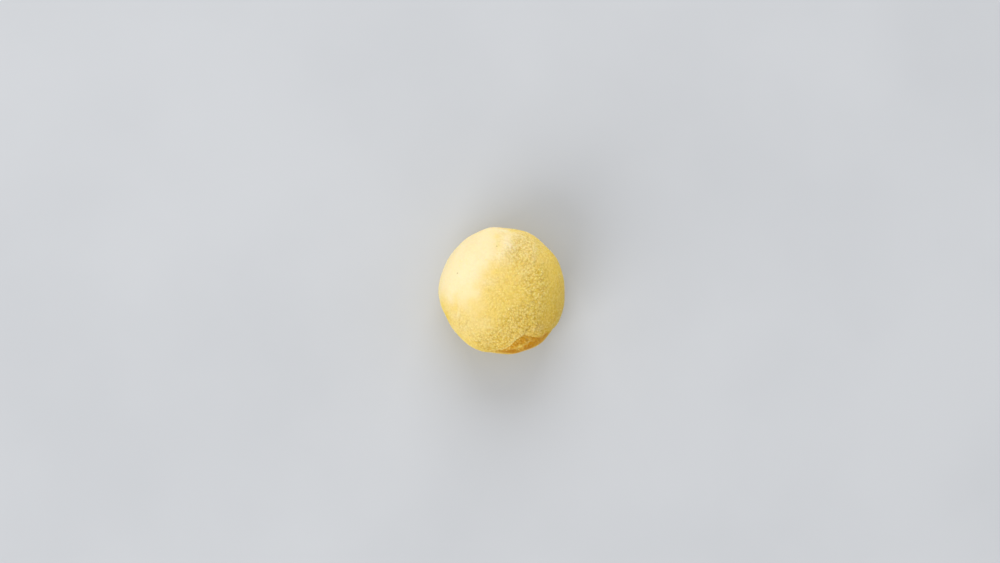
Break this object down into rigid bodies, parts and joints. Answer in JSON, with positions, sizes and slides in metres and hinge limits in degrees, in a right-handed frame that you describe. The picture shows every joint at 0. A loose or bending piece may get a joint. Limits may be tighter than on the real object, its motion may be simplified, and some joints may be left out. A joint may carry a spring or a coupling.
{
  "type": "mango mochi",
  "caption": "Round dusted mango mochi, one soft dumpling of rice dough resting on its gathered flat underside, a sweet served whole.",
  "frame": {"origin": "under the middle of the mochi, on the surface that it stands on", "axes": "+Z up from the foot to the crown; seen from straight above, +X is to the right and +Y is up, as in the picture"},
  "size_m": [0.0448, 0.0452, 0.033],
  "materials": {
    "mango_dough": "matt rice dough, mango yellow, dusted with fine starch"
  },
  "bodies": {
    "root": {"mochi": "mango_dough"}
  },
  "joints": []
}
